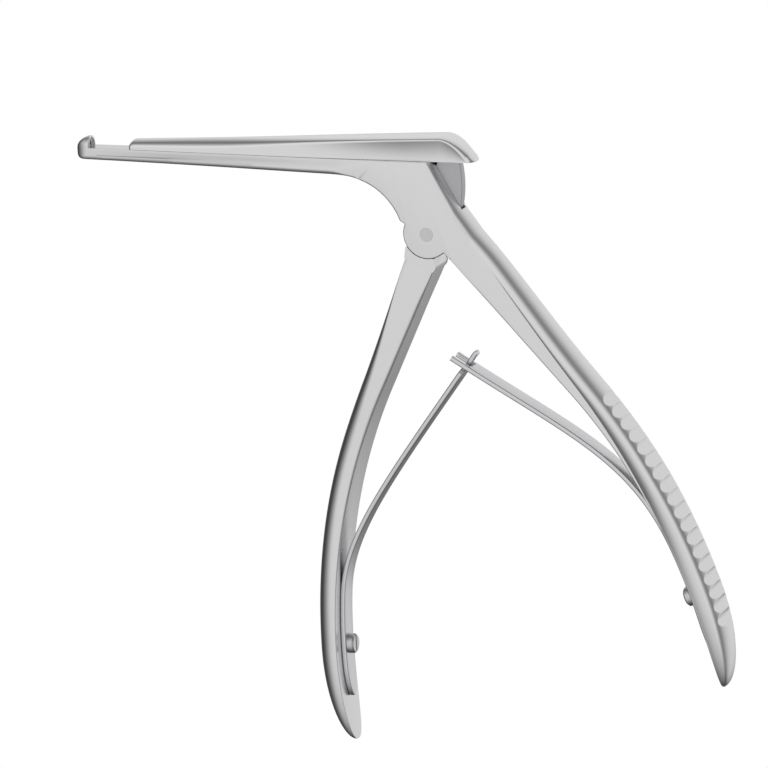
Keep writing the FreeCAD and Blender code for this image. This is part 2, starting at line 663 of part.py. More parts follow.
def make_slide():
    solid = slide_bar()
    corner = size("slide_corner")
    top = SLIDE_FLOOR + size("slide_front_height")
    edge = (SLIDE_FRONT, top - corner)
    crest = (SLIDE_FRONT + corner, top + 0.06)
    nose = plate([
        line(edge, (SLIDE_FRONT - 1, top - corner)),
        line((SLIDE_FRONT - 1, top - corner), (SLIDE_FRONT - 1, top + 1)),
        line((SLIDE_FRONT - 1, top + 1), (crest[0], top + 1)),
        line((crest[0], top + 1), crest),
        arc(crest, (SLIDE_FRONT + corner * 0.3, top - corner * 0.28), edge),
    ], -1, size("body_thick") + 2)
    pocket_low = SLIDE_FLOOR - 1
    ceiling = lever_points()["head"][1] + 0.17
    pocket = polygon_plate([
        (PIN_X - 3.6, pocket_low),
        (PIN_X + 5.9, pocket_low),
        (PIN_X + 4.2, size("pin_height") - 0.35),
        (PIN_X + 2.4, size("pin_height") + 1.25),
        (PIN_X + 1.1, ceiling),
        (PIN_X - 2.9, ceiling),
        (PIN_X - 3.6, ceiling - 0.7),
    ], MID - LEVER_GAP / 2, LEVER_GAP)
    pin_hole = cylinder(size("pin_radius"), -1, 1 + drive_pin_top(), PIN_X, size("pin_height"))
    start = SLIDE_FRONT + size("key_setback")
    stem = Part.makeBox(size("key_long"), size("key_stem_depth") + 0.4, size("key_stem_width"),
                        Vector(start, SLIDE_FLOOR - size("key_stem_depth"), MID - size("key_stem_width") / 2))
    head = Part.makeBox(size("key_long"), size("key_head_depth"), size("key_head_width"),
                        Vector(start, SLIDE_FLOOR - size("key_stem_depth") - size("key_head_depth"),
                               MID - size("key_head_width") / 2))
    solid = solid.cut([nose, pocket, pin_hole]).fuse([stem, head])
    return shape_of("slide", solid.removeSplitter())


# Drive pin: pressed into the slide from its far flank, through the lever's long hole

def drive_pin_top():
    return size("body_thick") - 1.6


def make_drive_pin():
    pin = doc.addObject("Part::Cylinder", "drive_pin_bar")
    bind(pin, Radius="sizes.pin_radius", Height="sizes.body_thick - 1.6 - 1.1")
    pin.Placement = Placement(Vector(PIN_X, size("pin_height"), 1.1), Rotation())
    doc.recompute()
    rounded = doc.addObject("Part::Chamfer", "drive_pin")
    rounded.Base = pin
    rims = [i for i, e in enumerate(pin.Shape.Edges, start=1) if e.BoundBox.ZLength < 0.01]
    rounded.Edges = [(i, 0.12, 0.12) for i in rims]
    rounded.Label = "drive_pin"
    return rounded


# Turned screws: a revolved outline in a body, and a pocket for the driver slot

def origin_plane(body, role):
    return next(f for f in body.Origin.OriginFeatures if f.Role == role)


def turned_screw(name, outline, place, slot_top, slot_reach, slot_down=True):
    """A body revolved about its own Z axis from (radius, height) corners, with a driver slot."""
    body = doc.addObject("PartDesign::Body", name)
    body.Label = name
    profile = body.newObject("Sketcher::SketchObject", name + "_profile")
    profile.AttachmentSupport = [(origin_plane(body, "XZ_Plane"), "")]
    profile.MapMode = "FlatFace"
    for a, b in zip(outline, outline[1:] + outline[:1]):
        profile.addGeometry(Part.LineSegment(Vector(a[0], a[1], 0), Vector(b[0], b[1], 0)), False)
    doc.recompute()
    turning = body.newObject("PartDesign::Revolution", name + "_turning")
    turning.Profile = profile
    turning.ReferenceAxis = (profile, ["V_Axis"])
    turning.Angle = 360.0
    doc.recompute()
    mark = body.newObject("Sketcher::SketchObject", name + "_slot_profile")
    mark.AttachmentSupport = [(origin_plane(body, "XY_Plane"), "")]
    mark.MapMode = "FlatFace"
    mark.AttachmentOffset = Placement(Vector(0, 0, slot_top), Rotation())
    half = size("slot_width") / 2
    ring = [(-slot_reach, -half), (slot_reach, -half), (slot_reach, half), (-slot_reach, half)]
    for a, b in zip(ring, ring[1:] + ring[:1]):
        mark.addGeometry(Part.LineSegment(Vector(a[0], a[1], 0), Vector(b[0], b[1], 0)), False)
    doc.recompute()
    before = turning.Shape.Volume
    slot = body.newObject("PartDesign::Pocket", name + "_slot")
    slot.Profile = mark
    bind(slot, Length="sizes.slot_depth")
    slot.Reversed = not slot_down
    doc.recompute()
    if slot.Shape.Volume > before - 0.01:
        raise RuntimeError(name + ": the driver slot cut nothing")
    body.Placement = place
    return body


def make_pivot_screw():
    """Flush at both cheeks: slotted head in the far one, turned end in the near one."""
    radius, head = size("pivot_radius"), size("pivot_head_radius")
    proud = size("pivot_proud")
    top = size("body_thick") + proud
    outline = [
        (0, -proud), (head - 0.1, -proud), (head, 0.07), (head, size("pivot_head_thick")),
        (radius, size("pivot_head_thick")), (radius, top - 0.1), (radius - 0.1, top), (0, top),
    ]
    return turned_screw("pivot_screw", outline, Placement(), -proud, head + 0.5, slot_down=False)


def make_spring_screw(name, handle):
    """Cheese-head screw through a leaf spring into the inner face of its handle."""
    radius, head = size("screw_radius"), size("screw_head_radius")
    lift = size("leaf_thick") + 2 * size("seat_gap")
    top = lift + size("screw_head_height")
    outline = [
        (0, -size("screw_long")), (radius - 0.2, -size("screw_long")), (radius, 0.2 - size("screw_long")),
        (radius, lift), (head, lift), (head, top - 0.35), (head - 0.35, top), (0, top),
    ]
    return turned_screw(name, outline, handle.frame_at(handle.screw_along), top, head + 0.5)


# Leaf springs: a foot flat on the handle, then one easy curve to where the two cross

def leaf_line(handle, leave, apex, heading, pull_foot, pull_apex, overshoot):
    """Middle line of a leaf from its foot to past the crossing, as one spline's points."""
    lift = size("leaf_thick") / 2 + size("seat_gap")
    points = []
    for step in range(5):
        along = leave + size("foot_long") * (1 - step / 4)
        point, down, out = handle.inner(along)
        points.append(point - out * lift)
    point, down, out = handle.inner(leave)
    a, d = points[-1], apex
    b = a - down * pull_foot
    c = d - heading * pull_apex
    for step in range(1, 13):
        t = step / 12
        points.append(a * (1 - t) ** 3 + b * (3 * t * (1 - t) ** 2) + c * (3 * t * t * (1 - t)) + d * t ** 3)
    points += overshoot
    return points


def leaf_ribbon(points):
    """Both faces of the leaf as splines half its thickness off the middle line."""
    half = size("leaf_thick") / 2
    sides = {1: [], -1: []}
    for i, point in enumerate(points):
        ahead = points[min(i + 1, len(points) - 1)] - points[max(i - 1, 0)]
        ahead.normalize()
        normal = Vector(-ahead.y, ahead.x, 0)
        for sign in sides:
            sides[sign].append(point + normal * (sign * half))
    edges = []
    for sign in sides:
        curve = Part.BSplineCurve()
        curve.interpolate(sides[sign])
        edges.append(curve.toShape())
    edges.append(Part.LineSegment(sides[1][0], sides[-1][0]).toShape())
    edges.append(Part.LineSegment(sides[1][-1], sides[-1][-1]).toShape())
    face = Part.Face(Part.Wire(Part.__sortEdges__(edges)))
    face.translate(Vector(0, 0, -size("leaf_width") / 2))
    return face.extrude(Vector(0, 0, size("leaf_width")))


def leaf_foot_trim(handle, leave):
    """What a rounded foot leaves off at the lower corners of the leaf."""
    half = size("leaf_width") / 2
    place = handle.frame_at(leave + size("foot_long"), -1.0)
    long = 9.0
    corners = []
    for sign in (1, -1):
        edges = [
            Part.LineSegment(Vector(0.5, sign * (half + 1), 0), Vector(-long, sign * (half + 1), 0)).toShape(),
            Part.LineSegment(Vector(-long, sign * (half + 1), 0), Vector(-long, sign * half, 0)).toShape(),
            Part.Arc(Vector(-long, sign * half, 0), Vector(-long * 0.3, sign * half * 0.72, 0),
                     Vector(0.5, 0, 0)).toShape(),
            Part.LineSegment(Vector(0.5, 0, 0), Vector(0.5, sign * (half + 1), 0)).toShape(),
        ]
        solid = Part.Face(Part.Wire(Part.__sortEdges__(edges))).extrude(Vector(0, 0, 5))
        solid.Placement = place
        corners.append(solid)
    return corners


def leaf_hole(handle):
    place = handle.frame_at(handle.screw_along, -1.0)
    hole = Part.makeCylinder(size("screw_radius") + size("screw_play"), 5)
    hole.Placement = place
    return hole


def apex_point():
    return Vector(size("apex_x"), size("apex_y"), MID)


def make_front_spring():
    heading = Vector(0.585, 0.811, 0).normalize()
    apex = apex_point()
    hook = [
        apex + Vector(0.7, 1.0, 0),
        apex + Vector(1.28, 1.9, 0),
        apex + Vector(1.75, 2.52, 0),
        apex + Vector(2.12, 2.82, 0),
        apex + Vector(2.48, 2.92, 0),
    ]
    points = leaf_line(FRONT, size("front_leave"), apex, heading,
                       size("front_pull_foot"), size("front_pull_apex"), hook)
    leaf = leaf_ribbon(points)
    half = size("leaf_width") / 2
    narrow = size("tongue_width") / 2
    trims = []
    axis = Placement(apex, Rotation(heading, Vector(-heading.y, heading.x, 0), Vector(0, 0, 1), "ZXY"))
    for sign in (1, -1):
        end = -size("shoulder_back")
        ring = [(end - 0.5, half + 1), (end - 0.5, half), (end, half - 0.5), (end, narrow),
                (9.0, narrow), (9.0, half + 1)]
        wire = Part.makePolygon([Vector(x, -4, sign * z) for x, z in ring + ring[:1]])
        trim = Part.Face(wire).extrude(Vector(0, 8, 0))
        trim.Placement = axis
        trims.append(trim)
    solid = leaf.cut(trims + leaf_foot_trim(FRONT, size("front_leave")) + [leaf_hole(FRONT)])
    return shape_of("front_spring", solid.removeSplitter())


def make_rear_spring():
    heading = Vector(-0.862, 0.507, 0).normalize()
    apex = apex_point() + heading * size("fork_past")
    points = leaf_line(REAR, size("rear_leave"), apex, heading,
                       size("rear_pull_foot"), size("rear_pull_apex"), [])
    leaf = leaf_ribbon(points)
    axis = Placement(apex, Rotation(heading, Vector(-heading.y, heading.x, 0), Vector(0, 0, 1), "ZXY"))
    slot = Part.makeBox(size("fork_long") + 3, 8, size("fork_slot"),
                        Vector(-size("fork_long"), -4, -size("fork_slot") / 2))
    slot.Placement = axis
    solid = leaf.cut([slot] + leaf_foot_trim(REAR, size("rear_leave")) + [leaf_hole(REAR)])
    return shape_of("rear_spring", solid.removeSplitter())


nodes = [
    make_frame(),
    make_front_handle(),
    make_slide(),
    make_pivot_screw(),
    make_drive_pin(),
    make_front_spring(),
    make_rear_spring(),
    make_spring_screw("front_spring_screw", FRONT),
    make_spring_screw("rear_spring_screw", REAR),
]
doc.recompute()

for obj in doc.Objects:
    if "Invalid" in obj.State or "Error" in obj.State:
        raise RuntimeError(obj.Name + " failed: " + ", ".join(obj.State))
os.makedirs("parts", exist_ok=True)
for node in nodes:
    shape = node.Shape
    if shape.isNull() or not shape.isValid():
        raise RuntimeError(node.Label + " has no valid shape")
    shape.exportStep("parts/" + node.Label + ".step")
    box = shape.BoundBox
    print(node.Label, len(shape.Solids), "solid", round(shape.Volume, 2), "mm3",
          [round(v, 2) for v in (box.XMin, box.YMin, box.ZMin, box.XMax, box.YMax, box.ZMax)])
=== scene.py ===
import math

import bmesh
import bpy
import numpy as np
from mathutils import Matrix, Vector


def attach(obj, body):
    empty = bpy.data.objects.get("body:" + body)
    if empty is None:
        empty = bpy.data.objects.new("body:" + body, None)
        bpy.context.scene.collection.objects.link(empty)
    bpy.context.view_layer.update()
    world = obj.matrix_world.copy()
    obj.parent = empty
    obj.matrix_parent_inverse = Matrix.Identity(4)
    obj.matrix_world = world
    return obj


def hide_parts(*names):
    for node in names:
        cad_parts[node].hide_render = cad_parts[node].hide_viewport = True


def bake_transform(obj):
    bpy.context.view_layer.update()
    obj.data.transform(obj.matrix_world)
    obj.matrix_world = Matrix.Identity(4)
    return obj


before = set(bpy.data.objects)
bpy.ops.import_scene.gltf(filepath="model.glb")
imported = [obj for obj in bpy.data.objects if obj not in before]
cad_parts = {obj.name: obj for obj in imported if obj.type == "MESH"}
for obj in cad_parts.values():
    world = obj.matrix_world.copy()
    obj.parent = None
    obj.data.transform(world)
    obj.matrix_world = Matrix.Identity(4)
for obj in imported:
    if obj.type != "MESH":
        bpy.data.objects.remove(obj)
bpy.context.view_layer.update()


# Satin stainless steel of the whole instrument: glass-bead finish over fine grinding marks, with
# the colour of hardened chromium steel. Every piece takes this finish, some a little darker.

class Socket:
    """A node's output that takes part in sums and products like a number."""

    def __init__(self, tree, out):
        self.tree = tree
        self.out = out

    def node(self, kind, settings=None, values=None, result=0):
        made = self.tree.nodes.new(kind)
        for name, value in (settings or {}).items():
            setattr(made, name, value)
        for name, value in (values or {}).items():
            target = made.inputs[name]
            if isinstance(value, Socket):
                self.tree.links.new(value.out, target)
            else:
                target.default_value = value
        return Socket(self.tree, made.outputs[result])

    def maths(self, operation, *values):
        return self.node("ShaderNodeMath", {"operation": operation}, dict(enumerate(values)))

    def __add__(self, other):
        return self.maths("ADD", self, other)

    def __sub__(self, other):
        return self.maths("SUBTRACT", self, other)

    def __mul__(self, other):
        return self.maths("MULTIPLY", self, other)

    def __radd__(self, other):
        return self.maths("ADD", other, self)

    def __rsub__(self, other):
        return self.maths("SUBTRACT", other, self)

    def __abs__(self):
        return self.maths("ABSOLUTE", self)

    def rise(self, low, high):
        """0 below low, 1 above high and a smooth step between them."""
        values = {"Value": self, "From Min": low, "From Max": high}
        return self.node("ShaderNodeMapRange", {"interpolation_type": "SMOOTHSTEP"}, values)

    def mixed(self, dark, light):
        """The colour between dark and light that this share of light gives."""
        values = {0: self, 6: (*dark, 1), 7: (*light, 1)}
        return self.node("ShaderNodeMix", {"data_type": "RGBA"}, values, 2)


def steel(name, tone, roughness, grain=0.03):
    """Metal of one tone, with grain and clouds as shares of it."""
    material = bpy.data.materials.new(name)
    material.use_nodes = True
    tree = material.node_tree
    shader = tree.nodes["Principled BSDF"]
    place = Socket(tree, tree.nodes.new("ShaderNodeTexCoord").outputs["Object"])
    fine = {0: place, 1: (500, 500, 500)}
    stretched = place.node("ShaderNodeVectorMath", {"operation": "MULTIPLY"}, fine)
    grit = place.node("ShaderNodeTexNoise", None, {"Vector": stretched, "Scale": 1.6, "Detail": 3.0})
    cloudy = place.node("ShaderNodeTexNoise", None, {"Vector": place, "Scale": 60.0, "Detail": 2.0})
    shade = (grit - 0.5) * grain + (cloudy - 0.5) * grain + 1.0
    colour = (shade * 0.8).mixed((0, 0, 0), tuple(v / 0.8 for v in tone))
    tree.links.new(colour.out, shader.inputs["Base Color"])
    shader.inputs["Metallic"].default_value = 1.0
    rough = cloudy * 0.05 + (roughness - 0.025)
    tree.links.new(rough.out, shader.inputs["Roughness"])
    return material


# Frame: the footplate shaft, the slotted body and the rear handle are forged in one piece of
# stainless steel, milled flat on both cheeks, slotted for the lever and then ground and blasted.

THICK = 8.2
MIDDLE = THICK / 2
SLOT_HALF = 1.33
SEAM = 15.8
TIP = -82.9
HOOK_FACE = -79.55
DISC = 5.42
SLOT_END = -5.9


def smooth_between(a, b, t):
    """a + (b - a) (3 t^2 - 2 t^3), with t held between 0 and 1."""
    t = np.clip(t, 0.0, 1.0)
    return a + (b - a) * t * t * (3 - 2 * t)


class HandleLine:
    """Inner face of a handle: straight, then one circular bow, with rounded sections on it."""

    def __init__(self, root, lean, straight, long, root_depth, side, corner):
        self.root, self.lean = np.array(root), math.radians(lean)
        self.straight, self.long, self.side, self.corner = straight, long, side, corner
        self.root_depth = root_depth
        self.bow, self.end_round = 130.0, 21.67
        self.power = 2.2

    def inner(self, along):
        """Points, directions down and outwards: angle = lean - side * (along - straight) / bow."""
        along = np.asarray(along, float)
        ahead = np.array([math.sin(self.lean), -math.cos(self.lean)])
        angle = self.lean - self.side * np.maximum(along - self.straight, 0.0) / self.bow
        arc = np.stack([math.cos(self.lean) - np.cos(angle), math.sin(self.lean) - np.sin(angle)], -1)
        point = self.root + ahead * np.minimum(along, self.straight)[..., None] - self.side * self.bow * arc
        down = np.stack([np.sin(angle), -np.cos(angle)], -1)
        out = np.stack([np.cos(angle), np.sin(angle)], -1) * self.side
        return point, down, out

    def sizes(self, along):
        """Depth, flat and full half width, reach of the milled flat and depth of the round back.

        Each runs smoothly from root to grip and shrinks past it by (1 - past^2.1)^(1/2).
        """
        along = np.asarray(along, float)
        waist, grip = self.long * 0.45, self.long - self.end_round
        depth = smooth_between(self.root_depth, 5.35, (along + 4) / (waist - 4))
        depth = smooth_between(depth, 5.0, (along - waist) / (grip - waist))
        depth = depth - np.minimum(along, 0.0) * 0.122
        half = smooth_between(THICK / 2, 4.6, along / waist)
        half = smooth_between(half, 5.6, (along - waist * 0.8) / (grip - waist * 0.8))
        if self.side > 0:
            # Rear: the milled flat narrows to a point 85 mm down, beside an even round back.
            below_slot = smooth_between(0, 1, (along - SLOT_END) / 14)
            lower = smooth_between(0, 1, (along - 30) / 30)
            depth = depth + 0.3 * below_slot * (1 - lower)
            back = 1.9 + 0.5 * below_slot - 0.4 * lower
            crease = 6.7 * np.maximum(1 - np.maximum(along, 0) / 85.0, 0) ** 1.9 - 0.10 * np.minimum(along, 0)
        else:
            # Front: the flat narrows over 50 mm and the back rounds off all the rest.
            crease = depth * 0.98 * smooth_between(1.0, 0.36, along / 50.0)
            crease = smooth_between(crease, 0.7, (along - 50.0) / (grip - 50.0))
            back = depth - crease
        bulge = 0.37 * np.maximum(depth - back - crease, 0.0)
        past = np.clip((along - grip) / self.end_round, 0.0, 1.0)
        shrink = np.sqrt(np.maximum(1 - past ** 2.1, 0.0))
        over = np.clip((crease - (depth - back)) / back, 0.0, 0.8)
        flat = half - 0.5 * bulge
        full = np.minimum(flat + bulge, 5.58) / (1 - over ** self.power) ** (1 / self.power)
        narrow = shrink ** 0.8
        return depth * shrink, flat * narrow, full * narrow, crease * shrink, back * shrink

    def grip(self, along, cut=None, from_side=None):
        """Grid (along, round): flat inner face and side, a swelling, then a round back.

        Swelling: z = flat + bulge (1 - (1 - v)^2); back: (e / back)^power + (z / full)^power = 1.
        Here e is the distance from the inner face; cut takes its depth away from the back, and
        above from_side only the part past the crease is made.
        """
        along = np.asarray(along, float)
        depth, flat, full, crease, back = (v[:, None] for v in self.sizes(along))
        start = np.zeros_like(depth)
        if from_side is not None:
            start = np.where(along[:, None] < from_side, crease - 0.02, 0.0)
        corner = self.corner * smooth_between(0.35, 1, (along[:, None] - 3.0) / 10)
        edge = np.minimum(corner, np.maximum(crease, 0.3) * 0.4)
        edge = edge * (start < 0.01) * np.minimum(depth / 3.0, 1.0)
        t = np.linspace(0, 1, 7)[None, :] * math.pi / 2
        corner_e = start + edge * (1 - np.cos(t))
        corner_z = flat - edge * (1 - np.sin(t))
        w = np.linspace(0, 1, 8)[None, 1:]
        side_e = start + edge + np.maximum(crease - start - edge, 0.0) * w
        centre = depth - back
        v = np.linspace(0, 1, 9)[None, 1:]
        swell = np.maximum(centre - crease, 0.0)
        first = np.maximum(crease, start + edge)
        rise_e = first + np.maximum(centre - first, 0.0) * v
        rise_z = flat + np.where(swell > 0, (full - flat) * (1 - (1 - v) ** 2), 0.0)
        over = np.clip((crease - centre) / np.maximum(back, 1e-6), 0.0, 0.8)
        first_turn = np.arcsin(over ** (self.power / 2))
        turn = first_turn + (math.pi / 2 - first_turn) * np.linspace(0, 1, 26)[None, 1:]
        back_e = centre + back * np.sin(turn) ** (2 / self.power)
        back_z = full * np.maximum(np.cos(turn), 0.0) ** (2 / self.power)
        half_e = np.concatenate([corner_e, side_e, rise_e, back_e], 1)
        half_z = np.concatenate([corner_z, flat + 0 * side_e, rise_z, back_z], 1)
        e = np.concatenate([half_e, half_e[:, -2::-1]], 1)
        z = np.concatenate([half_z, -half_z[:, -2::-1]], 1)
        if cut is not None:
            e = np.minimum(e, depth - cut(along)[:, None])
        point, down, out = self.inner(along)
        flat_xy = point[:, None, :] + out[:, None, :] * e[..., None]
        return np.concatenate([flat_xy, (MIDDLE + z)[..., None]], 2)


REAR = HandleLine((4.936, -5.006), 43.1, 38.0, 112.27, root_depth=8.1, side=1, corner=0.35)


def skin(name, patches, material, angle=32.0):
    """Mesh of grids, each (points, closed round, closed ends), with normals recalculated outwards."""
    verts, faces, base = [], [], 0
    for points, closed, ends in patches:
        rows, columns = points.shape[:2]
        i = np.arange(rows - 1)[:, None]
        j = np.arange(columns if closed else columns - 1)[None, :]
        k = (j + 1) % columns
        quads = np.stack([i * columns + j, i * columns + k, (i + 1) * columns + k, (i + 1) * columns + j], -1)
        faces += (quads.reshape(-1, 4) + base).tolist()
        if ends:
            faces.append((base + np.arange(columns)).tolist())
            faces.append((base + (rows - 1) * columns + np.arange(columns)).tolist())
        verts.append(points.reshape(-1, 3))
        base += rows * columns
    mesh = bpy.data.meshes.new(name)
    mesh.from_pydata((np.concatenate(verts) / 1000.0).tolist(), [], faces)
    work = bmesh.new()
    work.from_mesh(mesh)
    bmesh.ops.remove_doubles(work, verts=work.verts, dist=2e-6)
    bmesh.ops.dissolve_degenerate(work, edges=work.edges, dist=1e-6)
    bmesh.ops.recalc_face_normals(work, faces=work.faces)
    work.to_mesh(mesh)
    work.free()
    mesh.shade_smooth()
    mesh.set_sharp_from_angle(angle=math.radians(angle))
    piece = bpy.data.objects.new(name, mesh)
    bpy.context.scene.collection.objects.link(piece)
    mesh.materials.append(material)
    return piece


def along_line(a, b, step=0.6):
    """Points from a towards b, b left out."""
    a, b = np.array(a, float), np.array(b, float)
    count = max(1, int(np.linalg.norm(b - a) / step))
    return a + (b - a) * (np.arange(count) / count)[:, None]


def along_arc(centre, radius, start, end, step=0.4):
    """Points on a circle from start to end in degrees, the last left out."""
    count = max(3, int(abs(math.radians(end - start)) * radius / step))
    turn = np.radians(start + (end - start) * np.arange(count) / count)
    return np.array(centre) + radius * np.stack([np.cos(turn), np.sin(turn)], -1)


def polar(radius, angle):
    """Point at a radius from the pivot and an angle in degrees."""
    return radius * np.array([math.cos(math.radians(angle)), math.sin(math.radians(angle))])


def rounded_plate(outline, rounding, low, high, round_low, round_high, walls=2):
    """Extruded outline with a quarter-round rim: inset = r (1 - cos a), height = top - r (1 - sin a)."""
    ahead = np.roll(outline, -1, 0) - np.roll(outline, 1, 0)
    ahead /= np.maximum(np.linalg.norm(ahead, axis=1), 1e-9)[:, None]
    inwards = np.stack([-ahead[:, 1], ahead[:, 0]], -1)
    a = np.linspace(0, math.pi / 2, 7)[:, None]
    rings, heights = [], []
    if round_low:
        rings += [rounding[None, :] * (1 - np.sin(a))]
        heights += [low + rounding[None, :] * (1 - np.cos(a))]
    else:
        rings += [np.zeros((1, len(outline)))]
        heights += [np.full((1, len(outline)), low)]
    top_wall = high - (rounding if round_high else 0.0)
    bottom_wall = low + (rounding if round_low else 0.0)
    share = np.linspace(0, 1, walls + 1)[1:, None]
    rings += [np.zeros((walls, len(outline)))]
    heights += [bottom_wall + (top_wall - bottom_wall) * share + np.zeros((walls, len(outline)))]
    if round_high:
        rings += [rounding[None, :] * (1 - np.cos(a[1:]))]
        heights += [high - rounding[None, :] * (1 - np.sin(a[1:]))]
    inset, height = np.concatenate(rings), np.concatenate(heights)
    xy = outline[None] + inwards[None] * inset[..., None]
    return np.concatenate([xy, height[..., None]], 2)


throat_bow = 14.75
throat_centre = np.array((-19.7, SEAM - 3.6 - throat_bow))
disc_notch = polar(DISC, 157)
throat_end = disc_notch + (-1.15, 0.75)
throat_turn = math.degrees(math.atan2(*(throat_end - throat_centre)[::-1]))
throat_reach = np.linalg.norm(throat_end - throat_centre)
stop_in = polar(DISC, 314.6)
flat_along = np.linspace(0.4, SLOT_END, 14)
flat_edge, _, flat_out = REAR.inner(flat_along)
slot_end = flat_edge[-1] + flat_out[-1] * REAR.sizes(flat_along)[0][-1]
flat_edge = flat_edge + flat_out * REAR.sizes(flat_along)[3][:, None]
back_share = np.linspace(0, 1, 40)[:, None]
back_line = slot_end * (1 - back_share) + np.array((1.15, SEAM)) * back_share
back_round = np.linalg.norm(slot_end - flat_edge[-1]) * (1 - 0.6 * back_share)
back_inwards = -flat_out[-1] * (1 - back_share) + np.array((-1.16, 0.0)) * back_share
back_crease = back_line + back_inwards * back_round
throat_line = along_arc(throat_centre, 1.0, 90, throat_turn, 0.025)
throat_radii = np.linspace(throat_bow, throat_reach, len(throat_line))[:, None]
throat_line = throat_centre + (throat_line - throat_centre) * throat_radii


def bezier(points, count=14):
    """Cubic through four poles, the last point left out."""
    t = (np.arange(count) / count)[:, None]
    a, b, c, d = (np.array(p, float) for p in points)
    return a * (1 - t) ** 3 + b * 3 * t * (1 - t) ** 2 + c * 3 * t * t * (1 - t) + d * t ** 3


root_inner = REAR.inner(np.array([0.4]))[0][0]
# Each run of the outline, anticlockwise, with the rounding of its rim.
runs = [
    (along_line(back_crease[-1], (HOOK_FACE, SEAM)), 0.12),  # top of the shaft, under the slide
    (along_line((HOOK_FACE, SEAM), (HOOK_FACE, 17.95), 0.2), 0.3),  # cutting face of the hook
    (bezier([(HOOK_FACE, 17.95), (HOOK_FACE, 18.12), (-79.7, 18.2), (-80.0, 18.2)], 8), 0.5),  # crest
    (bezier([(-80.0, 18.2), (-81.3, 18.0), (-82.75, 16.5), (TIP, 14.9)], 24), 0.6),  # nose
    (bezier([(TIP, 14.9), (TIP, 13.8), (-82.1, 13.2), (-80.9, 13.2)], 14), 0.9),  # toe
    (along_line((-80.9, 13.2), (-19.7, 12.2)), 1.15),  # underside of the shaft
    (throat_line, 0.45),  # throat
    (along_line(throat_end, disc_notch, 0.25), 0.3),  # notch above the round cheek
    (along_arc((0, 0), DISC, 157, 314.6, 0.25), 0.35),  # round cheek
    (along_line(stop_in, REAR.root, 0.3), 0.15),  # corner below it
    (along_line(REAR.root, root_inner, 0.4), 0.3),  # handle's inner face
    (along_line(root_inner, flat_edge[0]), 0.0),  # across the handle's root
    (flat_edge[:-1], 0.0),  # crease of the milled flat
    (back_crease[1:-1], 0.0),  # crease beside the slot
]
outline = np.concatenate([points for points, r in runs])
rounding = np.concatenate([np.full(len(points), r) for points, r in runs])
for _ in range(6):
    eased = (np.roll(rounding, 1) + rounding + np.roll(rounding, -1)) / 3
    rounding = np.where(rounding > 0, eased, 0)
slot_runs = [
    along_line((-7.3, SEAM), (HOOK_FACE, SEAM)),
    *[points for points, r in runs[1:7]],
    along_line(throat_end, (-4.85, 0.0), 0.4),
    along_line((-4.85, 0.0), (-4.75, 1.6), 0.4),
]
lower_runs = [
    along_line((7.3, 5.4), (5.3, 1.8), 0.4),
    along_line((5.3, 1.8), (5.7, -4.3), 0.4),
    *[points for points, r in runs[10:13]],
]


def cheek_back(side):
    """Round back from the crease to the slot's wall: (1 - inset / r)^power + (out / full)^power = 1."""
    power, over, wall = REAR.power, 0.195, SLOT_HALF
    full = MIDDLE / (1 - over ** power) ** (1 / power)
    first, last = math.asin(over ** (power / 2)), math.acos((wall / full) ** (power / 2))
    a = np.linspace(first, last, 12)[None, :]
    reach = back_round / (1 - over)
    level = 0 * reach
    inset = np.concatenate([
        reach * (1 - np.sin(a) ** (2 / power)), 0.5 + level, 1.02 * back_round, 1.02 * back_round], 1)
    out = np.concatenate([
        full * np.cos(a) ** (2 / power) + level, wall + level, wall + level, MIDDLE - 0.01 + level], 1)
    xy = back_line[:, None, :] + back_inwards[:, None, :] * inset[..., None]
    return np.concatenate([xy, (MIDDLE + side * out)[..., None]], 2)


def core(lines, walls):
    """Sharp-edged filling between the cheeks, outline from several lines."""
    line = np.concatenate(lines)
    return rounded_plate(line, 0 * line[:, 0], MIDDLE - SLOT_HALF, MIDDLE + SLOT_HALF, False, False, walls)


near_cheek = rounded_plate(outline, rounding, MIDDLE + SLOT_HALF, THICK, False, True, 8)
far_cheek = rounded_plate(outline, rounding, 0.0, MIDDLE - SLOT_HALF, True, False, 8)
front_core = core(slot_runs, 8)
rear_core = core(lower_runs, 3)


def scallops(along, first=44.0, pitch=3.05, count=18, deep=0.8):
    """Depth of the finger scallops: deep * sin(pi part)^0.7 over each pitch."""
    part = np.mod(along - first, pitch) / pitch
    inside = (along > first) & (along < first + count * pitch)
    return np.where(inside, deep * np.sin(math.pi * part) ** 0.7, 0.0)


stations = np.concatenate([
    np.linspace(SLOT_END, 0.38, 12), np.linspace(0.4, 43.8, 76), np.linspace(43.9, 99.0, 420),
    REAR.long - REAR.end_round * (1 - np.sin(np.linspace(math.asin(8.6 / REAR.end_round), 1.55, 44)))])
rear_grip = REAR.grip(stations, scallops, from_side=0.39)

frame_steel = steel("frame_steel", (0.80, 0.80, 0.81), 0.30)
frame_piece = skin("frame_skin", [
    (near_cheek, True, True), (far_cheek, True, True), (front_core, True, True), (rear_core, True, True),
    (cheek_back(1), True, True), (cheek_back(-1), True, True), (rear_grip, True, True)], frame_steel)


def shaft_half(x):
    """Half width of both shafts: 2.15 mm at the tip, growing evenly to 4.1 mm at x = -3."""
    return 2.15 + 1.95 * np.clip((x - TIP) / 79.9, 0, 1)


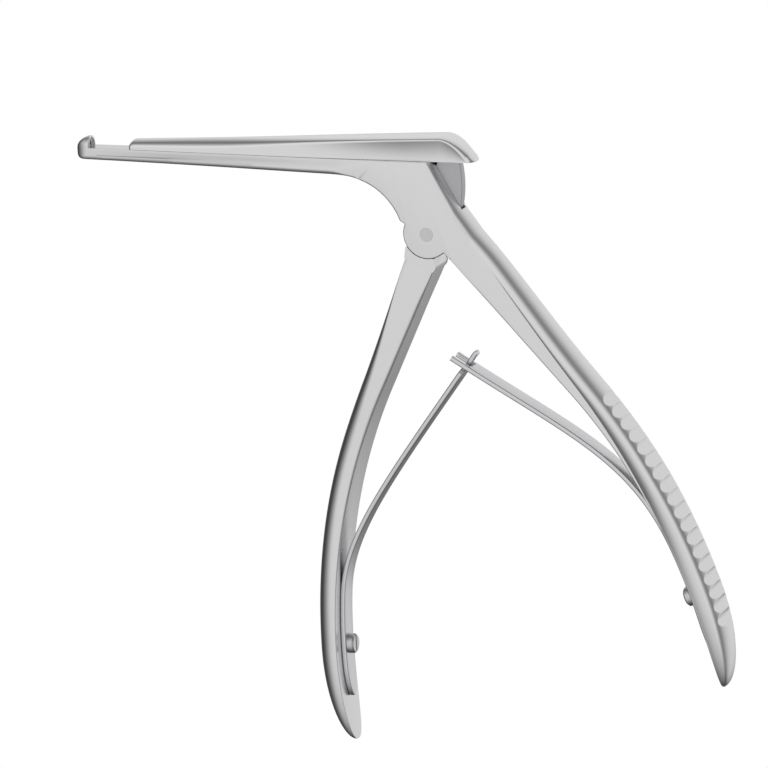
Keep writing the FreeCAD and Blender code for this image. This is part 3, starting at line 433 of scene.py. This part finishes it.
def draw_in(co):
    """Shaft and hook: z = middle + (z - middle) k, k from the half width, round at tip and crest."""
    share = shaft_half(co[:, 0]) / MIDDLE
    nose = np.clip((TIP + 2.9 - co[:, 0]) / 2.9, 0, 1)
    share *= np.sqrt(np.maximum(1 - nose ** 2, 0.0004))
    crest = np.clip((co[:, 1] - 16.0) / 2.25, 0, 1) * (co[:, 0] < -79.3)
    share *= np.sqrt(1 - crest ** 2)
    upright = co[:, 1] > SEAM - 4
    co[:, 2] = np.where(upright, MIDDLE + (co[:, 2] - MIDDLE) * share, co[:, 2])


def hollow_flanks(co, deep=0.36):
    """Flanks below the seam: sunk smoothly within 1.8 mm of it, fading out at hook and body."""
    out = co[:, 2] - MIDDLE
    sunk = smooth_between(0, 1, (SEAM - 0.1 - co[:, 1]) / 1.7)
    sunk = sunk * smooth_between(1, 0.12, (co[:, 0] + 52) / 26)
    sunk = sunk * smooth_between(0, 1, (co[:, 0] + 80) / 8) * np.clip((abs(out) - 1.4) / 0.6, 0, 1)
    shaft = (co[:, 1] > SEAM - 4) & (co[:, 0] < -18)
    co[:, 2] -= np.where(shaft, deep * sunk * np.sign(out), 0)


def cut_cup(co, deep=0.6):
    """Cup in the hook's cutting face: depth = deep (1 - (up / 1.75)^2 - (out / 1.72)^2)^(1/2)."""
    up = np.maximum(co[:, 1] - 16.0, 0.0)
    cup = np.clip(1 - (up / 1.75) ** 2 - ((co[:, 2] - MIDDLE) / 1.72) ** 2, 0, 1)
    co[:, 0] -= np.where(abs(co[:, 0] - HOOK_FACE) < 0.01, deep * np.sqrt(cup), 0)


def taper(piece):
    """Splits the shaft's flats finely enough, then gives them their width, hollows and cup."""
    mesh = piece.data
    work = bmesh.new()
    work.from_mesh(mesh)

    def split(axis, at, left_of=math.inf, above=-math.inf):
        """Cuts the faces whose centre lies left of one x and above one y with a plane across axis."""
        centres = [(f, f.calc_center_median() * 1000) for f in work.faces]
        chosen = [f for f, centre in centres if centre.x < left_of and centre.y > above]
        edges, verts = {e for f in chosen for e in f.edges}, {v for f in chosen for v in f.verts}
        near = [*edges, *verts, *chosen]
        place, normal = [0, 0, 0], [0, 0, 0]
        place[axis], normal[axis] = at / 1000, 1
        bmesh.ops.bisect_plane(work, geom=near, dist=1e-7, plane_co=place, plane_no=normal)

    for x in (-82.85, -82.75, -82.6, -82.4, -82.1, -81.7, -81.2, -80.6, -79.9, HOOK_FACE, -60, -40, -20, -3):
        split(0, x)
    for y in (13.7, 14.0, 14.3, 14.6, 14.9, 15.2, 15.5):
        split(1, y, left_of=-18, above=12)
    for y in (16.0, 16.3, 16.6, 16.9, 17.2, 17.5, 17.7, 17.9, 18.02, 18.12):
        split(1, y, left_of=-79)
    work.to_mesh(mesh)
    work.free()
    flat = np.empty(len(mesh.vertices) * 3, np.float32)
    mesh.vertices.foreach_get("co", flat)
    co = flat.reshape(-1, 3).astype(float) * 1000
    draw_in(co)
    hollow_flanks(co)
    cut_cup(co)
    mesh.vertices.foreach_set("co", (co / 1000).astype(np.float32).ravel())
    mesh.update()


taper(frame_piece)
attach(frame_piece, "frame_body")
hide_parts("frame")


# Front handle: forged with the flat lever on top, which passes up between the cheeks, turns on the
# pivot screw and works the slide. Its shoulder is hollowed to follow the round cheek.

FRONT = HandleLine((2.5, -5.46), -24.9, 34.0, 116.07, root_depth=7.1, side=-1, corner=0.85)
LEAN = math.radians(15.41)


def leaning(points):
    """Upright lever points turned to their place at rest."""
    turn = np.array([[math.cos(LEAN), -math.sin(LEAN)], [math.sin(LEAN), math.cos(LEAN)]])
    return np.asarray(points, float) @ turn


block_along = np.linspace(0.0, 3.2, 8)
inner_edge, _, block_out = FRONT.inner(block_along)
outer_edge = inner_edge + block_out * FRONT.sizes(block_along)[0][:, None]
shoulder_start = math.degrees(math.atan2(-2.88, -4.73))
shoulder = along_arc((0, 0), 5.54, shoulder_start, shoulder_start + 75, 0.25)
relief = [(1.32, -5.42), (1.68, -7.05)]
inner_from = FRONT.inner(np.linspace(2.4, 3.2, 3))[0]
block_runs = [
    (shoulder[shoulder[:, 0] < 1.25], 0.18),
    (along_line(relief[0], relief[1], 0.3), 0.15),
    (along_line(relief[1], inner_from[0], 0.3), 0.2),
    (inner_from[:-1], 0.3),
    (along_line(inner_from[-1], outer_edge[-1]), 0.0),
    (along_line(outer_edge[-1], (-4.77, -2.92), 0.4), 0.15),
]
block = np.concatenate([points for points, r in block_runs])
block_round = np.concatenate([np.full(len(points), r) for points, r in block_runs])
for _ in range(3):
    eased = (np.roll(block_round, 1) + block_round + np.roll(block_round, -1)) / 3
    block_round = np.where(block_round > 0, eased, 0)
shoulder_block = rounded_plate(block, block_round, 0.0, THICK, True, True, 3)
head_arc = along_arc((0, 17.93), 1.85, 15, 165, 0.25)
lever_runs = [
    bezier([(4.55, 0.7), (5.9, 6.5), (5.15, 12.5), tuple(head_arc[0])], 26),
    head_arc,
    along_line((-1.85, 17.93), (-4.2, 1.87)),
    along_arc((0, 0), 4.6, 156, 368, 0.3),
]
lever_outline = leaning(np.concatenate(lever_runs))
lever_round = np.full(len(lever_outline), 0.18)
lever = rounded_plate(lever_outline, lever_round, MIDDLE - 1.25, MIDDLE + 1.25, True, True)
neck_end, neck_side = polar(8.2, 255.2), polar(2.6, 345.2)
neck = np.concatenate([
    along_line(neck_end - neck_side, neck_end + neck_side),
    along_line(neck_end + neck_side, neck_side),
    along_line(neck_side, -neck_side),
    along_line(-neck_side, neck_end - neck_side)])
neck = rounded_plate(neck, np.full(len(neck), 0.05), MIDDLE - 1.24, MIDDLE + 1.24, True, True)
front_stations = np.concatenate([
    np.linspace(3.2, 94.4, 190), FRONT.long - FRONT.end_round * (1 - np.sin(np.linspace(0.01, 1.55, 60)))])
front_grip = FRONT.grip(front_stations)

handle_steel = steel("handle_steel", (0.80, 0.80, 0.81), 0.30)
front_piece = skin("front_handle_skin", [
    (shoulder_block, True, True), (neck, True, True), (front_grip, True, True)], handle_steel)
# Lever: a rougher satin, and a darker tone that is painted shade for the slot between the cheeks and the
# space under the slide.
lever_steel_painted_shade = steel("lever_steel_painted_shade", (0.50, 0.50, 0.51), 0.40)
lever_piece = skin("lever_skin", [(lever, True, True)], lever_steel_painted_shade)
for piece in (front_piece, lever_piece):
    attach(piece, "front_handle_body")
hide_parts("front_handle")


# Slide: the moving upper shaft, milled with hollow flanks and a crowned top, its heel rounded over
# the lever. Its T-shaped key holds it down in the shaft; the pocket for the lever is open below.

FLOOR = 15.85
FRONT_END = -69.75


def slide_grid():
    """Sections across X: hollow flank, crowned top and, below, the pocket for the lever.

    Flank: z = half - cove (1 - u/4 - 3 u^2/4). Crown: (z / half)^power + (y / rise)^power = 1.
    """
    heel, heel_high, pocket_from, nose_long = 3.0, 5.5, 1.25, 1.15
    x = np.concatenate([
        FRONT_END + nose_long * (1 - np.cos(np.linspace(0, math.pi / 2, 14))),
        np.linspace(-68.5, 1.24, 160), [pocket_from, pocket_from + 1e-4], np.linspace(1.4, 9.1, 44),
        9.2 + 1.58 * np.sin(np.linspace(0.02, math.pi / 2 - 0.02, 22))])[:, None]
    run = np.clip((x - FRONT_END) / (heel - FRONT_END), 0, 1)
    height = 2.0 + (heel_high - 2.0) * run
    crown = 0.1 + 0.58 * np.exp(-(np.maximum(x - FRONT_END - 11.8, 0) / 29.0) ** 2)
    fall = np.clip((x - heel) / 7.8, 0, 1)
    rim_fall = np.clip((x - heel) / 6.2, 0, 1)
    top = np.where(x > heel, heel_high * (1 - fall ** 2), height)
    rim = np.where(x > heel, 4.95 * (1 - rim_fall ** 2), height * (1 - crown))
    nose = np.clip(1 - (x - FRONT_END) / nose_long, 0, 1)
    round_off = np.sqrt(1 - nose ** 2)
    top, rim = top - nose_long * (1 - round_off), rim * (0.55 + 0.45 * round_off)
    rim = np.maximum(rim, 0.05)
    top = np.maximum(top, rim + 0.02)
    half = shaft_half(x) - 1.2 * rim_fall ** 1.5
    half = half * np.sqrt(1 - np.clip((x - 9.2) / 1.6, 0, 1) ** 2)
    half = half - 0.45 * (1 - np.sqrt(1 - np.clip(1 - (x - FRONT_END) / 0.6, 0, 1) ** 2))
    cove = 1.1 * smooth_between(0, 1, (x + 40) / 38) * np.clip(rim / 4.5, 0, 1) ** 1.2
    u = np.linspace(0, 1, 24)[None, :]
    flank_y = rim * u
    flank_z = half - cove * (1 - 0.25 * u - 0.75 * u * u)
    v = np.linspace(0, math.pi, 48)[None, 1:-1]
    power = smooth_between(2.0, 3.2, (x + 50) / 40)
    crown_z = half * np.sign(np.cos(v)) * np.abs(np.cos(v)) ** (2.0 / power)
    crown_y = rim + (top - rim) * np.sin(v) ** (2.0 / power)
    pocket_high = np.where((x > pocket_from) & (x < 9.5), 4.1, 0.02)
    pocket_high = np.minimum(pocket_high, np.maximum(top - 1.1, 0.02))
    inner = np.minimum(SLOT_HALF, half * 0.6)
    low_y = np.concatenate([0 * inner, pocket_high, pocket_high, 0 * inner], 1)
    low_z = np.concatenate([-inner, -inner, inner, inner], 1)
    y = np.concatenate([flank_y, crown_y, flank_y[:, ::-1], low_y], 1)
    z = np.concatenate([flank_z, crown_z, -flank_z[:, ::-1], low_z], 1)
    xx = np.broadcast_to(x, y.shape)
    return np.stack([xx, FLOOR + y, MIDDLE + z], -1)


slide_steel = steel("slide_steel", (0.80, 0.80, 0.81), 0.20, grain=0.02)
slide_piece = skin("slide_skin", [(slide_grid(), True, True)], slide_steel, 40.0)
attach(slide_piece, "slide_body")
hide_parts("slide")


# Leaf springs: two bowed strips of hardened steel, each screwed by its foot to a handle. The front
# one ends in a narrow tongue that hooks through the fork in the end of the rear one.

CROSSING = np.array([7.2, -29.45])
LEAF_WIDE = 5.1
LEAF_THICK = 1.1
PRONG_WIDE = 1.3
FOOT_LONG = 24.0


def leaf_line(handle, leave, end, heading, pull_foot, pull_end, past):
    """Middle line: along the handle's inner face, 0.59 mm off, then a cubic to end and on past it.

    The leaf leaves the handle at leave. A pull is how far an inner pole of the cubic lies from its end.
    """
    point, down, out = handle.inner(leave + FOOT_LONG * (1 - np.linspace(0, 1, 30)))
    lying = point - out * 0.59
    first = lying[-1]
    rise = bezier([first, first - down[-1] * pull_foot, end - heading * pull_end, end], 60)
    return np.concatenate([lying[:-1], rise, [end], past])


def ribbon(line, width, thick=LEAF_THICK, r=0.34):
    """Strip along a line: rectangles with corners of radius r, width given along the line."""
    ahead = np.gradient(line, axis=0)
    ahead /= np.linalg.norm(ahead, axis=1)[:, None]
    normal = np.stack([-ahead[:, 1], ahead[:, 0]], -1)
    a = np.linspace(0, math.pi / 2, 5)
    corner_t = np.concatenate([thick / 2 - r + r * np.cos(a), -(thick / 2 - r) - r * np.sin(a),
                               -(thick / 2 - r) - r * np.cos(a), thick / 2 - r + r * np.sin(a)])
    sign = np.repeat([1, 1, -1, -1], 5)
    pull = np.concatenate([r - r * np.sin(a), r - r * np.cos(a), r - r * np.sin(a), r - r * np.cos(a)])
    half = np.asarray(width)[:, None] / 2
    z = sign[None, :] * (half - pull[None, :])
    xy = line[:, None, :] + normal[:, None, :] * corner_t[None, :, None]
    return np.concatenate([xy, (MIDDLE + z)[..., None]], 2)


def foot_width(line):
    """Width along a line, round at its foot, and the run: width = wide (1 - 0.97 (1 - run / 8)^2)^(1/2)."""
    run = np.concatenate([[0], np.cumsum(np.linalg.norm(np.diff(line, axis=0), axis=1))])
    t = np.clip(run / 8.0, 0, 1)
    return LEAF_WIDE * np.sqrt(1 - (1 - t) ** 2 * 0.97), run


spring_steel = steel("spring_steel", (0.70, 0.70, 0.715), 0.24, grain=0.015)
front_heading = np.array([0.585, 0.811])
hook = CROSSING + np.array([
    (0.36, 0.51), (0.7, 1.0), (1.0, 1.46), (1.28, 1.9), (1.53, 2.25),
    (1.75, 2.52), (1.93, 2.7), (2.12, 2.82), (2.3, 2.89), (2.46, 2.92)])
front_leave = 82.0
front_line = leaf_line(FRONT, front_leave, CROSSING, front_heading, pull_foot=13.0, pull_end=35.0, past=hook)
front_width, front_run = foot_width(front_line)
to_go = front_run[np.argmin(np.linalg.norm(front_line - CROSSING, axis=1))] - front_run
narrowing = PRONG_WIDE + (LEAF_WIDE - PRONG_WIDE) * np.clip((to_go - 0.75) / 0.35, 0, 1)
front_width = np.minimum(front_width, narrowing)
front_leaf = skin("front_spring_skin", [(ribbon(front_line, front_width), True, True)], spring_steel)
rear_heading = np.array([-0.862, 0.507]) / math.hypot(0.862, 0.507)
rear_leave = 80.0
rear_end = CROSSING + rear_heading * 3.6
rear_line = leaf_line(REAR, rear_leave, rear_end, rear_heading, 22.0, 32.0, past=np.zeros((0, 2)))
rear_width, rear_run = foot_width(rear_line)
fork_from = rear_run[-1] - 4.8
main_run = np.concatenate([rear_run[rear_run < fork_from - 0.1], [fork_from]])
prong_run = np.linspace(fork_from, rear_run[-1], 12)
main_line, prong_line = (np.stack([np.interp(run, rear_run, rear_line[:, i]) for i in (0, 1)], -1)
                         for run in (main_run, prong_run))
prong = ribbon(prong_line, np.full(len(prong_line), PRONG_WIDE))
prong_out = (0, 0, (LEAF_WIDE - PRONG_WIDE) / 2)
rear_leaf = skin("rear_spring_skin", [
    (ribbon(main_line, np.interp(main_run, rear_run, rear_width)), True, True),
    (prong + prong_out, True, True), (prong - prong_out, True, True)], spring_steel)
for leaf, root, spring, along, handle in (
        (front_leaf, "front_handle_body", "front_spring_body", front_leave, FRONT),
        (rear_leaf, "frame_body", "rear_spring_body", rear_leave, REAR)):
    begin, finish = handle.inner(np.array([along + 6.0, along - 22.0]))[0] / 1000.0
    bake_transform(leaf)
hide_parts("front_spring")
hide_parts("rear_spring")


# Screws and pin: turned from stainless bar. The pivot screw is ground flush with both cheeks, the
# two slotted cheese-head screws hold the springs, and the drive pin is pressed into the slide.

screw_steel = steel("screw_steel", (0.66, 0.66, 0.67), 0.33)
for node in ("pivot_screw", "drive_pin", "front_spring_screw", "rear_spring_screw"):
    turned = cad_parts[node]
    turned.data.materials.clear()
    turned.data.materials.append(screw_steel)


# Table and studio: a white sheet under the instrument, one large soft light overhead and a room
# that is bright above and below and darker at its middle height, its left and its front.

floor_mesh = bpy.data.meshes.new("table_top")
half_sheet, table_level = 1.6, -0.0018
quarters = ((-1, -1), (1, -1), (1, 1), (-1, 1))
sheet_corners = [(x * half_sheet, y * half_sheet, table_level) for x, y in quarters]
floor_mesh.from_pydata(sheet_corners, [], [(0, 1, 2, 3)])
table_top = bpy.data.objects.new("table_top", floor_mesh)
bpy.context.scene.collection.objects.link(table_top)
sheet = bpy.data.materials.new("white_sheet")
sheet.use_nodes = True
tree = sheet.node_tree
tree.nodes.remove(tree.nodes["Principled BSDF"])
path = Socket(tree, tree.nodes.new("ShaderNodeLightPath").outputs["Is Camera Ray"])
clear = path.node("ShaderNodeBsdfTransparent")
glow = path.node("ShaderNodeEmission", None, {"Color": (1, 1, 1, 1), "Strength": 1.0})
both = path.node("ShaderNodeMixShader", None, {0: path, 1: clear, 2: glow})
tree.links.new(both.out, tree.nodes["Material Output"].inputs["Surface"])
floor_mesh.materials.append(sheet)

world = bpy.data.worlds.new("studio")
bpy.context.scene.world = world
world.use_nodes = True
tree = world.node_tree
back = tree.nodes["Background"]
looking = Socket(tree, tree.nodes.new("ShaderNodeTexCoord").outputs["Generated"])
parts = looking.node("ShaderNodeSeparateXYZ", None, {"Vector": looking})
dx, dy, dz = (Socket(tree, parts.out.node.outputs[i]) for i in range(3))
height = abs(dz + 0.05).rise(0.05, 0.95)
above = dz.rise(-0.15, 0.05)
front = 0.45 + dy.rise(-0.95, -0.25) * 0.55
side = 0.20 + (dx * 0.6 + dy).rise(-0.54, -0.02) * 0.80
edge_of_room = 0.53 + dx.rise(-1.02, -0.38) * 0.47
strength = (height * 0.60 + 0.22) * (above * front + (1.0 - above) * side) * edge_of_room
tree.links.new(strength.out, back.inputs["Strength"])
back.inputs["Color"].default_value = (1, 1, 1, 1)

key = bpy.data.lights.new("overhead_light", "AREA")
key.shape = "RECTANGLE"
key.size, key.size_y = 0.7, 0.5
key.energy = 0.12
lamp = bpy.data.objects.new("overhead_light", key)
lamp_place = Vector((-0.25, 0.35, 0.75))
lamp_turn = lamp_place.to_track_quat("Z", "Y").to_matrix().to_4x4()
lamp.matrix_world = Matrix.Translation(lamp_place) @ lamp_turn
bpy.context.scene.collection.objects.link(lamp)


# Camera of the photograph: a long lens, a little from the right and from above the handles.

camera_data = bpy.data.cameras.new("camera")
camera_data.lens = 250.0
camera_data.sensor_width = 36.0
camera_data.clip_start = 0.05
camera_data.clip_end = 20.0
camera = bpy.data.objects.new("camera", camera_data)
right = (0.93751, -0.03368, -0.34633)
up = (-0.05078, 0.97141, -0.23194)
towards = (0.34424, 0.23503, 0.90899)
camera.matrix_world = Matrix((
    (right[0], up[0], towards[0], 0.38918),
    (right[1], up[1], towards[1], 0.23948),
    (right[2], up[2], towards[2], 1.06477),
    (0, 0, 0, 1)))
bpy.context.scene.collection.objects.link(camera)
bpy.context.scene.camera = camera
bpy.context.scene.view_settings.view_transform = "Standard"
